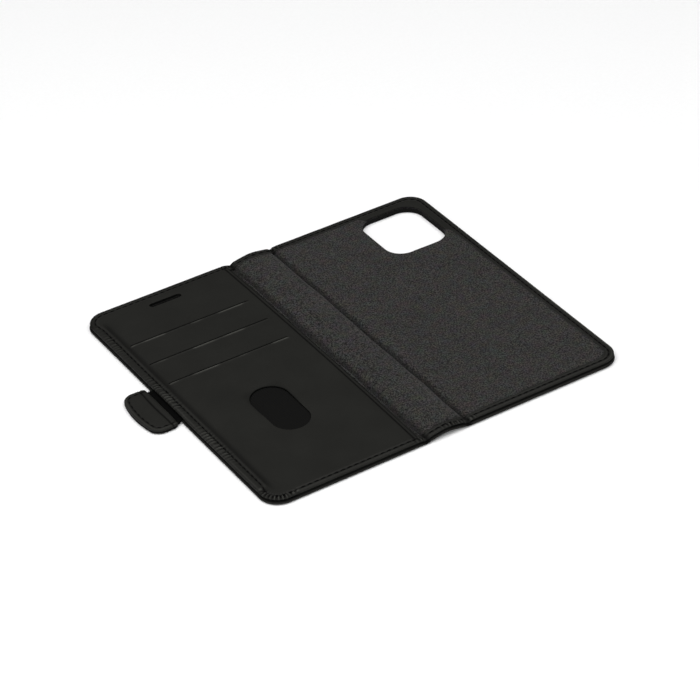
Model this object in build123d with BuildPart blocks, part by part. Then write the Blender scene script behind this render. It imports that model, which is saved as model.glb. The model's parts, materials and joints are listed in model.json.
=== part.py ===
from build123d import *
import os

# Phone wallet case, lying open with its inside up.
# Origin: middle of the back panel's outer face, which lies on the table (z = 0). +X points away
# from the spine, +Y to the camera end, +Z to the inside. Millimetres.

# --- overall sizes --------------------------------------------------------------------------
height = 158.0          # along the spine
back_width = 77.5       # back panel, from its fold line to its free edge
spine_width = 20.5      # between the two fold lines
cover_width = 74.0      # front cover, from its fold line to its free edge
corner_radius = 9.0     # the four free corners
spine_rise = 2.0        # how far the middle of the spine stands up

# --- layers ---------------------------------------------------------------------------------
leather = 0.9           # outer leather
cover_board_thick = 0.7
back_board_thick = 1.0
spine_board_thick = 0.7
back_lining_thick = 1.2
spine_lining_thick = 1.0
cash_wall_thick = 0.25
liner_thick = 0.2
panel_thick = 0.65      # leather of the card panel
hem_width = 4.0         # leather turned in along the free edges

# --- folds ----------------------------------------------------------------------------------
fold_clearance = 0.35
pivot_z = leather / 2   # the folds turn about the middle of the outer leather

# --- stitching ------------------------------------------------------------------------------
stitch_inset = 2.6      # seam line to the edge
clasp_stitch_inset = 1.9
thread_width = 0.6
thread_height = 0.15

# --- camera window and magnets in the back panel --------------------------------------------
window_width = 30.2
window_height = 33.3
window_radius = 8.5
window_side_margin = 6.4
window_top_margin = 6.7
window_hem = 2.0
magnet_diameter = 12.0
magnet_rows = 3
magnet_fold_margin = 24.75      # fold line to the middle of the first column
magnet_catch_gap = 2.75         # second column's magnets to the catch plate
magnet_bottom_margin = 19.0     # bottom edge to the middle of the first row
magnet_window_gap = 27.0        # middle of the last row to the camera window
magnet_clearance = 0.1
catch_width = 10.0
catch_height = 22.0
catch_edge_margin = 6.0

# --- front cover's pockets ------------------------------------------------------------------
slit_count = 3
slit_edge_margin = 7.4  # slits to the cover's free edge
slit_fold_margin = 8.6  # slits to the fold line
slit_width = 0.6
slit_pitch = 16.6
slit_top_margin = 30.4  # first slit to the top edge
liner_side = 2.0        # liner past each end of its slit
liner_bottom_margin = 17.8      # last liner to the bottom edge
liner_lip = 3.4         # glued strip above the slit
thumb_width = 16.8
thumb_height = 32.8
thumb_slit_gap = 25.3   # last slit to the thumb window
speaker_length = 15.8
speaker_width = 2.8
speaker_top_margin = 9.0

# --- closing strap and its padded head ------------------------------------------------------
strap_width = 24.4      # it is as thick as the cover's board, which it lies level with
strap_y = 4.7
strap_root_length = 10.0
strap_tongue_length = 3.0
strap_clearance = 0.2
strap_pivot_out = 1.4   # fold of the strap, outside the cover's edge
head_gap = 2.1          # cover's edge to the head's seam end
head_length = 13.0
head_width = 29.7
head_bow = 2.4          # how far its end bulges
head_radius = 4.0
head_lift = 0.05        # lower face of the head above the table
pad_inset = 0.5
closure_magnet_length = 18.0
closure_magnet_width = 5.0

# --- places worked out from the sizes -------------------------------------------------------
back_edge = back_width / 2
back_fold = -back_width / 2
spine_middle = back_fold - spine_width / 2
cover_fold = back_fold - spine_width
cover_edge = cover_fold - cover_width
top_edge = height / 2

cover_lip = leather + cover_board_thick
back_lip = leather + back_board_thick
spine_lip = leather + spine_board_thick
cash_top = cover_lip + cash_wall_thick
panel_bottom = cash_top + slit_count * liner_thick
cover_top = panel_bottom + panel_thick
back_top = back_lip + back_lining_thick
spine_top = spine_lip + spine_lining_thick

window_x = back_edge - window_side_margin - window_width / 2
window_y = top_edge - window_top_margin - window_height / 2
slit_length = cover_width - slit_edge_margin - slit_fold_margin
slit_x = cover_edge + slit_edge_margin + slit_length / 2
slit_ys = [top_edge - slit_top_margin - number * slit_pitch for number in range(slit_count)]
liner_depth = slit_ys[-1] + liner_lip + top_edge - liner_bottom_margin
thumb_y = slit_ys[-1] - thumb_slit_gap - thumb_height / 2
speaker_y = top_edge - speaker_top_margin

catch_spot = (back_edge - catch_edge_margin - catch_width / 2, strap_y)
first_column = back_fold + magnet_fold_margin
last_column = catch_spot[0] - catch_width / 2 - magnet_catch_gap - magnet_diameter / 2
first_row = -top_edge + magnet_bottom_margin
last_row = window_y - window_height / 2 - magnet_window_gap
magnet_step = (last_row - first_row) / (magnet_rows - 1)
magnet_spots = [(x, first_row + row * magnet_step) for x in (first_column, last_column)
                for row in range(magnet_rows)]

strap_thick = cover_board_thick
strap_fold = cover_edge - strap_pivot_out
strap_bend_gap = strap_thick / 2 + strap_clearance
head_near = cover_edge - head_gap
head_far = head_near - head_length
head_skin = leather - head_lift
head_top = leather + strap_thick + head_skin
closure_magnet_x = (head_near - strap_tongue_length + head_far) / 2


def fold_gap(layer_top):
    """Distance that a layer keeps from the fold line, so that the panels close to a right angle."""
    return layer_top - pivot_z + fold_clearance


def panel_plan(fold, edge, inset, gap):
    """Outline of a panel: square beside its fold, rounded at its two free corners."""
    outward = 1 if edge > fold else -1
    near = fold + outward * gap
    far = edge - outward * inset
    with BuildSketch() as plan:
        with Locations(((near + far) / 2, 0)):
            Rectangle(abs(far - near), height - 2 * inset)
        fillet(plan.vertices().group_by(Axis.X)[-1 if outward > 0 else 0], corner_radius - inset)
    return plan.sketch


def rim_plan(fold, edge, gap):
    """The band along a panel's three free edges, as wide as the turned-in leather."""
    with BuildSketch() as plan:
        add(panel_plan(fold, edge, 0, gap))
        add(panel_plan(fold, edge, hem_width, gap), mode=Mode.SUBTRACT)
    return plan.sketch


def thread_plan(fold, edge, gap):
    """The seam along a panel's three free edges."""
    with BuildSketch() as plan:
        add(panel_plan(fold, edge, stitch_inset - thread_width / 2, gap))
        add(panel_plan(fold, edge, stitch_inset + thread_width / 2, gap), mode=Mode.SUBTRACT)
    return plan.sketch


def window_plan(margin):
    """The camera window, grown by a margin."""
    with BuildSketch() as plan:
        with Locations((window_x, window_y)):
            RectangleRounded(window_width + 2 * margin, window_height + 2 * margin, window_radius + margin)
    return plan.sketch


def corner_band_plan(gap):
    """The plain leather between the camera window and the free corner."""
    with BuildSketch() as plan:
        with Locations((window_x - window_width / 2, window_y), (window_x, window_y - window_height / 2)):
            Rectangle(back_width, height, align=(Align.MIN, Align.MIN))
        add(panel_plan(back_fold, back_edge, 0, gap), mode=Mode.INTERSECT)
    return plan.sketch


def slot_plan():
    """The speaker slot, which goes right through the front cover."""
    with BuildSketch() as plan:
        with Locations((cover_edge + cover_width / 2, speaker_y)):
            SlotOverall(speaker_length, speaker_width)
    return plan.sketch


def head_plan(inset):
    """Outline of the closing head: straight at its seam, bowed at its end."""
    near = head_near - inset
    shoulder = head_far + head_bow + inset
    half = head_width / 2 - inset
    with BuildSketch() as plan:
        with BuildLine():
            Polyline((shoulder, strap_y - half), (near, strap_y - half), (near, strap_y + half),
                     (shoulder, strap_y + half))
            ThreePointArc((shoulder, strap_y + half), (head_far + inset, strap_y),
                          (shoulder, strap_y - half))
        make_face()
        fillet(plan.vertices().group_by(Axis.X)[0], head_radius - inset)
    return plan.sketch


def tent_points(bottom, top):
    """Section of one layer of the spine, which stands up along its middle."""
    half = spine_width / 2
    foot = half - fold_gap(top)
    lift = spine_rise * (1 - foot / half)
    return [(spine_middle - foot, bottom + lift), (spine_middle, bottom + spine_rise),
            (spine_middle + foot, bottom + lift), (spine_middle + foot, top + lift),
            (spine_middle, top + spine_rise), (spine_middle - foot, top + lift)]


def save(part, name):
    """Label one finished piece and write it to its own file."""
    part.label = name
    export_step(part, f"parts/{name}.step")


os.makedirs("parts", exist_ok=True)

# Outlines that several layers share.
leather_gap = fold_gap(leather)
back_sheet = panel_plan(back_fold, back_edge, 0, leather_gap)
back_inside = panel_plan(back_fold, back_edge, hem_width, fold_gap(back_lip))
back_lining_area = panel_plan(back_fold, back_edge, hem_width, fold_gap(back_top))
cover_sheet = panel_plan(cover_fold, cover_edge, 0, leather_gap)
cover_inside = panel_plan(cover_fold, cover_edge, hem_width, fold_gap(cover_lip))
cash_inside = panel_plan(cover_fold, cover_edge, hem_width, fold_gap(cash_top))
speaker_slot = slot_plan()
window = window_plan(0)
window_with_hem = window_plan(window_hem)

# --- back panel -----------------------------------------------------------------------------
with BuildPart() as back_outer_leather:
    with BuildSketch():
        add(back_sheet)
        add(window, mode=Mode.SUBTRACT)
    extrude(amount=leather)
    # The leather is turned in along the free edges and around the camera window.
    with BuildSketch(Plane.XY.offset(leather)):
        add(rim_plan(back_fold, back_edge, fold_gap(back_lip)))
        add(corner_band_plan(fold_gap(back_lip)))
        add(window_with_hem)
        add(window, mode=Mode.SUBTRACT)
    extrude(amount=back_board_thick)
save(back_outer_leather.part, "back_outer_leather")

with BuildPart() as back_board:
    with BuildSketch(Plane.XY.offset(leather)):
        add(back_inside)
        add(corner_band_plan(0), mode=Mode.SUBTRACT)
        add(window_with_hem, mode=Mode.SUBTRACT)
        with Locations(*magnet_spots):
            Circle(magnet_diameter / 2 + magnet_clearance, mode=Mode.SUBTRACT)
        with Locations(catch_spot):
            Rectangle(catch_width + 2 * magnet_clearance, catch_height + 2 * magnet_clearance,
                      mode=Mode.SUBTRACT)
    extrude(amount=back_board_thick)
save(back_board.part, "back_board")

with BuildPart() as phone_magnets:
    with BuildSketch(Plane.XY.offset(leather)):
        with Locations(*magnet_spots):
            Circle(magnet_diameter / 2)
    extrude(amount=back_board_thick)
save(phone_magnets.part, "phone_magnets")

with BuildPart() as closure_catch_plate:
    with BuildSketch(Plane.XY.offset(leather)):
        with Locations(catch_spot):
            Rectangle(catch_width, catch_height)
    extrude(amount=back_board_thick)
save(closure_catch_plate.part, "closure_catch_plate")

with BuildPart() as back_suede_lining:
    with BuildSketch(Plane.XY.offset(back_lip)):
        add(back_lining_area)
        add(corner_band_plan(0), mode=Mode.SUBTRACT)
        add(window, mode=Mode.SUBTRACT)
    extrude(amount=back_lining_thick)
save(back_suede_lining.part, "back_suede_lining")

with BuildPart() as back_leather_border:
    with BuildSketch(Plane.XY.offset(back_lip)):
        add(rim_plan(back_fold, back_edge, fold_gap(back_top)))
        add(corner_band_plan(fold_gap(back_top)))
        add(window, mode=Mode.SUBTRACT)
    extrude(amount=back_lining_thick)
save(back_leather_border.part, "back_leather_border")

with BuildPart() as back_thread:
    with BuildSketch(Plane.XY.offset(back_top)):
        add(thread_plan(back_fold, back_edge, fold_gap(back_top + thread_height)))
    extrude(amount=thread_height)
save(back_thread.part, "back_thread")

# --- spine ----------------------------------------------------------------------------------
# Each layer is extruded towards -Y from the place where it starts.
inner_end = top_edge - hem_width
band_starts = [top_edge, -inner_end]
seam_starts = [top_edge - stitch_inset + thread_width / 2, -top_edge + stitch_inset + thread_width / 2]

with BuildPart() as spine_outer_leather:
    with BuildSketch(Plane.XZ.offset(-top_edge)):
        with BuildLine():
            Polyline(*tent_points(0, leather), close=True)
        make_face()
    extrude(amount=height)
    for start in band_starts:
        with BuildSketch(Plane.XZ.offset(-start)):
            with BuildLine():
                Polyline(*tent_points(leather, spine_lip), close=True)
            make_face()
        extrude(amount=hem_width)
save(spine_outer_leather.part, "spine_outer_leather")

with BuildPart() as spine_board:
    with BuildSketch(Plane.XZ.offset(-inner_end)):
        with BuildLine():
            Polyline(*tent_points(leather, spine_lip), close=True)
        make_face()
    extrude(amount=2 * inner_end)
save(spine_board.part, "spine_board")

with BuildPart() as spine_suede_lining:
    with BuildSketch(Plane.XZ.offset(-inner_end)):
        with BuildLine():
            Polyline(*tent_points(spine_lip, spine_top), close=True)
        make_face()
    extrude(amount=2 * inner_end)
save(spine_suede_lining.part, "spine_suede_lining")

with BuildPart() as spine_end_borders:
    for start in band_starts:
        with BuildSketch(Plane.XZ.offset(-start)):
            with BuildLine():
                Polyline(*tent_points(spine_lip, spine_top), close=True)
            make_face()
        extrude(amount=hem_width)
save(spine_end_borders.part, "spine_end_borders")

with BuildPart() as spine_threads:
    for start in seam_starts:
        with BuildSketch(Plane.XZ.offset(-start)):
            with BuildLine():
                Polyline(*tent_points(spine_top, spine_top + thread_height), close=True)
            make_face()
        extrude(amount=thread_width)
save(spine_threads.part, "spine_threads")

# --- front cover ----------------------------------------------------------------------------
strap_root_end = cover_edge + strap_root_length

with BuildPart() as cover_outer_leather:
    with BuildSketch():
        add(cover_sheet)
        add(speaker_slot, mode=Mode.SUBTRACT)
    extrude(amount=leather)
    # The turned-in edge is left out where the strap comes in.
    with BuildSketch(Plane.XY.offset(leather)):
        add(rim_plan(cover_fold, cover_edge, fold_gap(cover_lip)))
        with Locations((cover_edge, strap_y)):
            Rectangle(4 * hem_width, strap_width + 2 * strap_clearance, mode=Mode.SUBTRACT)
    extrude(amount=cover_board_thick)
save(cover_outer_leather.part, "cover_outer_leather")

with BuildPart() as cover_board:
    with BuildSketch(Plane.XY.offset(leather)):
        add(cover_inside)
        add(speaker_slot, mode=Mode.SUBTRACT)
        with Locations((strap_root_end + strap_clearance, strap_y)):
            Rectangle(2 * strap_root_length, strap_width + 2 * strap_clearance,
                      align=(Align.MAX, Align.CENTER), mode=Mode.SUBTRACT)
    extrude(amount=cover_board_thick)
save(cover_board.part, "cover_board")

with BuildPart() as cash_pocket_wall:
    with BuildSketch(Plane.XY.offset(cover_lip)):
        add(cash_inside)
        add(speaker_slot, mode=Mode.SUBTRACT)
    extrude(amount=cash_wall_thick)
save(cash_pocket_wall.part, "cash_pocket_wall")

# The liner of the first slit lies deepest, and a strip glued above its slit joins it to the panel.
for number, slit_y in enumerate(slit_ys):
    liner_bottom = cash_top + number * liner_thick
    liner_width = slit_length + 2 * liner_side
    with BuildPart() as card_liner:
        with BuildSketch(Plane.XY.offset(liner_bottom)):
            with Locations((slit_x, slit_y + liner_lip)):
                Rectangle(liner_width, liner_depth, align=(Align.CENTER, Align.MAX))
        extrude(amount=liner_thick)
        with BuildSketch(Plane.XY.offset(liner_bottom)):
            with Locations((slit_x, slit_y + liner_lip)):
                Rectangle(liner_width, liner_lip - slit_width, align=(Align.CENTER, Align.MAX))
        extrude(amount=panel_bottom - liner_bottom)
    save(card_liner.part, f"card_liner_{number + 1}")

with BuildPart() as card_panel:
    with BuildSketch(Plane.XY.offset(panel_bottom)):
        add(panel_plan(cover_fold, cover_edge, 0, fold_gap(cover_top)))
        add(speaker_slot, mode=Mode.SUBTRACT)
        with Locations(*[(slit_x, slit_y) for slit_y in slit_ys]):
            SlotOverall(slit_length, slit_width, mode=Mode.SUBTRACT)
        with Locations((slit_x, thumb_y)):
            SlotOverall(thumb_height, thumb_width, rotation=90, mode=Mode.SUBTRACT)
    extrude(amount=panel_thick)
    # Its own turned-in edge stands on the turned-in edge of the outer leather.
    with BuildSketch(Plane.XY.offset(cover_lip)):
        add(rim_plan(cover_fold, cover_edge, fold_gap(cover_top)))
    extrude(amount=panel_bottom - cover_lip)
save(card_panel.part, "card_panel")

with BuildPart() as cover_thread:
    with BuildSketch(Plane.XY.offset(cover_top)):
        add(thread_plan(cover_fold, cover_edge, fold_gap(cover_top + thread_height)))
    extrude(amount=thread_height)
save(cover_thread.part, "cover_thread")

with BuildPart() as strap_root:
    with BuildSketch(Plane.XY.offset(leather)):
        with Locations((strap_root_end, strap_y)):
            Rectangle(strap_root_end - strap_fold - strap_bend_gap, strap_width,
                      align=(Align.MAX, Align.CENTER))
    extrude(amount=strap_thick)
save(strap_root.part, "strap_root")

# --- closing head ---------------------------------------------------------------------------
with BuildPart() as strap_tongue:
    with BuildSketch(Plane.XY.offset(leather)):
        with Locations((head_near - strap_tongue_length, strap_y)):
            Rectangle(strap_fold - strap_bend_gap - head_near + strap_tongue_length, strap_width,
                      align=(Align.MIN, Align.CENTER))
    extrude(amount=strap_thick)
save(strap_tongue.part, "strap_tongue")

with BuildPart() as clasp_lower_leather:
    with BuildSketch(Plane.XY.offset(head_lift)):
        add(head_plan(0))
    extrude(amount=head_skin)
save(clasp_lower_leather.part, "clasp_lower_leather")

with BuildPart() as clasp_pad:
    with BuildSketch(Plane.XY.offset(leather)):
        add(head_plan(pad_inset))
        with Locations((head_near, strap_y)):
            Rectangle(2 * strap_tongue_length, strap_width, mode=Mode.SUBTRACT)
        with Locations((closure_magnet_x, strap_y)):
            Rectangle(closure_magnet_width + 2 * magnet_clearance,
                      closure_magnet_length + 2 * magnet_clearance, mode=Mode.SUBTRACT)
    extrude(amount=strap_thick)
save(clasp_pad.part, "clasp_pad")

with BuildPart() as clasp_magnet:
    with BuildSketch(Plane.XY.offset(leather)):
        with Locations((closure_magnet_x, strap_y)):
            Rectangle(closure_magnet_width, closure_magnet_length)
    extrude(amount=strap_thick)
save(clasp_magnet.part, "clasp_magnet")

with BuildPart() as clasp_upper_leather:
    with BuildSketch(Plane.XY.offset(leather + strap_thick)):
        add(head_plan(0))
    extrude(amount=head_skin)
save(clasp_upper_leather.part, "clasp_upper_leather")

with BuildPart() as clasp_thread:
    with BuildSketch(Plane.XY.offset(head_top)):
        add(head_plan(clasp_stitch_inset - thread_width / 2))
        add(head_plan(clasp_stitch_inset + thread_width / 2), mode=Mode.SUBTRACT)
    extrude(amount=thread_height)
save(clasp_thread.part, "clasp_thread")
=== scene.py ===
"""Black leather phone wallet, lying open with its suede inside up.

Run as a script, it finishes the rigid frame of the wallet with leather, suede, cloth and thread.
Shapes are worked out in millimetres and turned to metres when their mesh is made.
"""
import json
from math import cos, pi, radians, sin

import bmesh
import bpy
import numpy as np
from bpy.props import FloatProperty, FloatVectorProperty, PointerProperty
from mathutils import Matrix, Vector, noise


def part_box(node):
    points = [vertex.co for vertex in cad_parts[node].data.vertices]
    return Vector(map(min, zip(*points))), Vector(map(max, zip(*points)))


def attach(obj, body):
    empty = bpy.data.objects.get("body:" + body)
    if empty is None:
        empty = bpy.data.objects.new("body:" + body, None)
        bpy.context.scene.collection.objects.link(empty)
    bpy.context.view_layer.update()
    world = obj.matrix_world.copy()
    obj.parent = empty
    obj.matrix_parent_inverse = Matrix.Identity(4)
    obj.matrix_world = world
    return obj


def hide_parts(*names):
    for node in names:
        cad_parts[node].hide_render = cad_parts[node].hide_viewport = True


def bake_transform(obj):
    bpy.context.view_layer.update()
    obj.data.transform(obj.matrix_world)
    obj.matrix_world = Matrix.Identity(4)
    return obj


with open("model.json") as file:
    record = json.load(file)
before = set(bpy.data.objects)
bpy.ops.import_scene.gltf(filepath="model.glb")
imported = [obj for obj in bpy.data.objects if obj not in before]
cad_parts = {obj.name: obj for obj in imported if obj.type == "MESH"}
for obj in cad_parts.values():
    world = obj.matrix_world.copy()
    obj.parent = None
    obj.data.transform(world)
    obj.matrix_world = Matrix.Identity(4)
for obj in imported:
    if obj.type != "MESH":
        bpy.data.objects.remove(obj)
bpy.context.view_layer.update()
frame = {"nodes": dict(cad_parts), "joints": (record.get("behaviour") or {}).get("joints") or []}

bl_info = {
    "name": "Phone Wallet",
    "version": (1, 0, 0),
    "blender": (4, 5, 0),
    "location": "3D View > Sidebar > Wallet",
    "description": "Builds the leather, suede and stitching of an open phone wallet",
    "category": "Add Mesh",
}

MM = 0.001

# --- places taken from the frame, in millimetres --------------------
pivots = {joint["name"]: Vector(joint["pos_m"]) / MM for joint in frame["joints"]}
BACK_FOLD = pivots["spine_fold"].x
COVER_FOLD = pivots["cover_fold"].x
SPINE_MIDDLE = (BACK_FOLD + COVER_FOLD) / 2
HALF_SPINE = (BACK_FOLD - COVER_FOLD) / 2
BACK_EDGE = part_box("back_outer_leather")[1].x / MM
COVER_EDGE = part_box("cover_outer_leather")[0].x / MM
TOP_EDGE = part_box("back_outer_leather")[1].y / MM
BACK_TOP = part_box("back_suede_lining")[1].z / MM
BACK_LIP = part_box("back_suede_lining")[0].z / MM
COVER_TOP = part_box("card_panel")[1].z / MM
COVER_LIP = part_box("card_panel")[0].z / MM
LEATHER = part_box("back_board")[0].z / MM
PANEL_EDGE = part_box("card_panel")[1].x / MM
CASH_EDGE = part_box("cash_pocket_wall")[1].x / MM
CASH_LOW, CASH_HIGH = (corner.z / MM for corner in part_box("cash_pocket_wall"))
STRAP_LOW, STRAP_HIGH = (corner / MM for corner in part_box("strap_root"))
STRAP_MIDDLE = (STRAP_LOW.y + STRAP_HIGH.y) / 2
STRAP_HALF = (STRAP_HIGH.y - STRAP_LOW.y) / 2
HEAD_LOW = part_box("clasp_lower_leather")[0] / MM
HEAD_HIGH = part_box("clasp_upper_leather")[1] / MM
HEAD_MIDDLE = (HEAD_LOW.y + HEAD_HIGH.y) / 2
HEAD_HALF = (HEAD_HIGH.y - HEAD_LOW.y) / 2

# --- sizes of the make, in millimetres ------------------------------
HEAD_BOW = 2.4           # how far the head's end bows out
HEAD_CORNER = 4.0
HEAD_NECK = HEAD_HIGH.x
HEAD_END = HEAD_LOW.x + HEAD_BOW
WELT = 2.7               # raised band along the clasp's neck
HEAD_SEAM = HEAD_LOW.z + 0.85      # where the head's two skins meet
HEM = 4.0                # leather turned up round the boards
WINDOW_HEM = 1.9
PANEL_BOW = 0.8
SLOT_LINING = 0.3        # the speaker slot is lined with leather, so it is a little smaller
TUCK = 1.2               # suede under the border
SETBACK = 0.35           # border and card panel to the wallet's edge
FOLD_REACH = 3.6         # leather that turns, each side of a fold
SKIN = 0.02              # air between layers
STITCH_RISE = 0.24
GLUED = 0.01             # between layers that are glued
SLOT_TURN = 0.14         # leather turned in at the speaker slot
PANEL_THICK = 0.62       # card panel over the pockets
PANEL_GROOVE = 1.35      # groove pressed beside the panel's loose edge
WELD = 0.004             # points closer than this become one
SLIVER = 0.002
BACK_SEAM_START = BACK_FOLD + 4.6
SPINE_SUEDE_END = COVER_FOLD - 1.4


# --- sizes and colours that can be set ------------------------------
def linear(code):
    """An sRGB hex colour as linear light."""
    parts = [int(code[place:place + 2], 16) / 255 for place in (0, 2, 4)]
    return [part / 12.92 if part <= 0.04045 else ((part + 0.055) / 1.055) ** 2.4 for part in parts]


def length(name, description, millimetres):
    """A length that a user can set, kept in metres."""
    return FloatProperty(name=name, description=description, default=millimetres * MM, min=0,
                         subtype="DISTANCE", unit="LENGTH", precision=4)


def dye(name, description, code):
    """A colour that a user can set, from its sRGB hex value."""
    return FloatVectorProperty(name=name, description=description, subtype="COLOR",
                               default=linear(code))


class WalletShape(bpy.types.PropertyGroup):
    """Sizes of the panels and their openings"""
    corner: length("Corner radius", "Radius of the four free corners", 9.0)
    spine_rise: length("Spine rise", "How far the middle of the spine stands up", 2.0)
    crease: length("Crease depth", "Depth of the groove at each fold", 1.8)
    border: length("Border width", "Smooth leather along the free edges", 4.2)
    window_width: length("Window width", "Camera window across the panel", 30.2)
    window_height: length("Window height", "Camera window along the panel", 33.3)
    window_radius: length("Window radius", "Corner radius of the camera window", 8.5)
    window_side: length("Window side margin", "Camera window to the free edge", 6.4)
    window_top: length("Window top margin", "Camera window to the top edge", 6.7)
    slit_side: length("Slit margin", "Card slits to the cover's free edge", 7.4)
    slit_length: length("Slit length", "Length of a card slit", 58.0)
    slit_width: length("Slit width", "Gap of a card slit", 0.5)
    slit_pitch: length("Slit pitch", "Card slit to card slit", 16.6)
    slit_top: length("First slit", "First card slit to the top edge", 30.4)
    thumb_width: length("Thumb window width", "Across the cover", 16.8)
    thumb_height: length("Thumb window height", "Along the cover", 32.8)
    thumb_gap: length("Thumb window gap", "Last slit to the thumb window", 25.3)
    speaker_length: length("Speaker slot length", "Across the cover", 15.8)
    speaker_width: length("Speaker slot width", "Along the cover", 2.8)
    speaker_top: length("Speaker slot margin", "Speaker slot to the top edge", 9.0)


class WalletThread(bpy.types.PropertyGroup):
    """Places of the seams and sizes of a stitch"""
    inset: length("Seam inset", "Seam to the edge", 2.6)
    side_inset: length("Side seam inset", "Seam to the cover's free edge", 3.7)
    clasp_inset: length("Clasp seam inset", "Seam to the edge of the clasp", 1.9)
    stitch: length("Stitch length", "Length of one stitch", 2.3)
    pitch: length("Stitch pitch", "Stitch to stitch", 3.1)
    width: length("Thread width", "Thickness of the thread", 0.5)


class WalletColours(bpy.types.PropertyGroup):
    """Colours of the materials"""
    leather: dye("Leather", "Smooth outer leather", "21211f")
    suede: dye("Suede", "Short-nap lining", "2b2a29")
    cloth: dye("Cloth", "Pocket liners", "0b0b0a")
    thread: dye("Thread", "Sewing thread", "050505")
    floor: dye("Floor", "Studio floor", "f9f9f9")


def smooth(value):
    """Goes from 0 to 1 as value does, level at both ends."""
    value = np.clip(value, 0, 1)
    return value * value * (3 - 2 * value)


def bump(distance, width):
    """1 at distance 0, falling away over about the width."""
    return np.exp(-(distance / width) ** 2)


def waves(x, y, size, seed):
    """Soft unevenness of about one unit, with bumps of the given size in millimetres."""
    flat = [noise.noise((a / size, b / size, seed)) for a, b in zip(np.ravel(x), np.ravel(y))]
    return np.reshape(flat, np.shape(x))


def linked(name, data):
    """A new object in the scene."""
    made = bpy.data.objects.new(name, data)
    bpy.context.scene.collection.objects.link(made)
    return made


# --- meshes made of rows of points ----------------------------------
class Patches:
    """Rows of points in millimetres, welded where they meet into one mesh."""

    def __init__(self):
        self.points = []
        self.faces = []

    def rows(self, grid, keep=None, closed=False):
        """Adds a net of four-sided faces over the grid; keep says which of them stay."""
        grid = np.asarray(grid, float)
        if closed:
            grid = np.concatenate([grid, grid[:1]])
        first = len(self.points)
        lines, across = grid.shape[:2]
        self.points.extend(grid.reshape(-1, 3))
        for line in range(lines - 1):
            for place in range(across - 1):
                if keep is None or keep[line, place]:
                    corner = first + line * across + place
                    self.faces.append((corner, corner + 1, corner + across + 1, corner + across))

    def face(self, outline):
        """Adds one flat face."""
        first = len(self.points)
        self.points.extend(np.asarray(outline, float))
        self.faces.append(tuple(range(first, first + len(outline))))

    def make(self, name, material, sharp=50, pressed=None):
        """Welds the rows, turns the faces outwards and links the finished piece."""
        mesh = bpy.data.meshes.new(name)
        mesh.from_pydata([Vector(point) * MM for point in self.points], [], self.faces)
        work = bmesh.new()
        work.from_mesh(mesh)
        bmesh.ops.remove_doubles(work, verts=work.verts, dist=WELD * MM)
        bmesh.ops.dissolve_degenerate(work, edges=work.edges, dist=SLIVER * MM)
        bmesh.ops.recalc_face_normals(work, faces=work.faces)
        work.to_mesh(mesh)
        work.free()
        mesh.shade_smooth()
        mesh.set_sharp_from_angle(angle=radians(sharp))
        mesh.materials.append(material)
        # The pressed attribute holds each point's painted light: painted shade up to 1 and painted
        # highlights below 0.
        if pressed:
            spots = np.array([vertex.co for vertex in mesh.vertices]) / MM
            layer = mesh.attributes.new("pressed", "FLOAT", "POINT")
            layer.data.foreach_set("value", np.clip(pressed(*spots.T), -3, 1).astype(np.float32))
        return linked(name, mesh)


def lift(flat, height):
    """Plan points raised to a height function."""
    x, y = flat[..., 0], flat[..., 1]
    return np.stack([x, y, height(x, y)], -1)


def places(start, end, step, fine=()):
    """Places from start to end, closer together near each (place, reach, step) in fine."""
    found = [start]
    while found[-1] < end:
        here = found[-1]
        size = step
        for centre, reach, small in fine:
            size = min(size, small + (step - small) * min(1, abs(here - centre) / reach))
        found.append(here + size)
    found = np.array(found)
    return start + (found - start) * (end - start) / (found[-1] - start)


class Rim:
    """An edge in plan: its points and the directions that point out of the material."""

    def __init__(self, points, outward, closed=False):
        self.points = np.asarray(points, float)
        self.outward = np.asarray(outward, float)
        self.closed = closed

    def inside(self, distances):
        """Rings of plan points at these distances from the edge."""
        distances = np.asarray(distances, float)
        return self.points[:, None] - self.outward[:, None] * distances[None, :, None]

    def roll(self, patches, lip, reach, top, bottom, steps=8):
        """The rounded edge between an upper and a lower face, which both end at the lip."""
        seat = self.inside([lip])[:, 0]
        high = top(seat[:, 0], seat[:, 1])
        low = bottom(seat[:, 0], seat[:, 1])
        turns = np.linspace(0, pi, steps + 1)
        flat = self.inside(lip - (lip - reach) * np.sin(turns))
        middle, half = (high + low) / 2, (high - low) / 2
        level = middle[:, None] + half[:, None] * np.cos(turns)[None]
        patches.rows(np.concatenate([flat, level[..., None]], -1), closed=self.closed)
        return flat, level


class Hole:
    """A round-cornered opening in a sheet."""

    def __init__(self, x, y, width, height, radius):
        self.centre = np.array([x, y])
        self.half = np.array([width, height]) / 2
        self.radius = radius

    def from_core(self, plan):
        """From the opening's core, whose radius makes its outline, to each point."""
        core = self.half - self.radius
        away = plan - self.centre
        return away - np.clip(away, -core, core)

    def block(self, plan, margin):
        """The grid lines that frame the opening."""
        gap = np.linalg.norm(self.from_core(plan), axis=-1) - self.radius
        lines, across = np.nonzero(gap < margin)
        return lines.min() - 1, lines.max() + 1, across.min() - 1, across.max() + 1

    def rim(self, loop):
        """The edge of the opening, with one point for each point of the loop around it."""
        core = np.clip(loop - self.centre, self.radius - self.half, self.half - self.radius)
        away = loop - self.centre - core
        away /= np.linalg.norm(away, axis=1)[:, None]
        return Rim(self.centre + core + away * self.radius, -away, closed=True)


def loop_of(plan, block):
    """The points around a block of grid cells."""
    left, right, low, high = block
    return np.concatenate([plan[left:right, low], plan[right, low:high],
                           plan[right:left:-1, high], plan[left, high:low:-1]])


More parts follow.
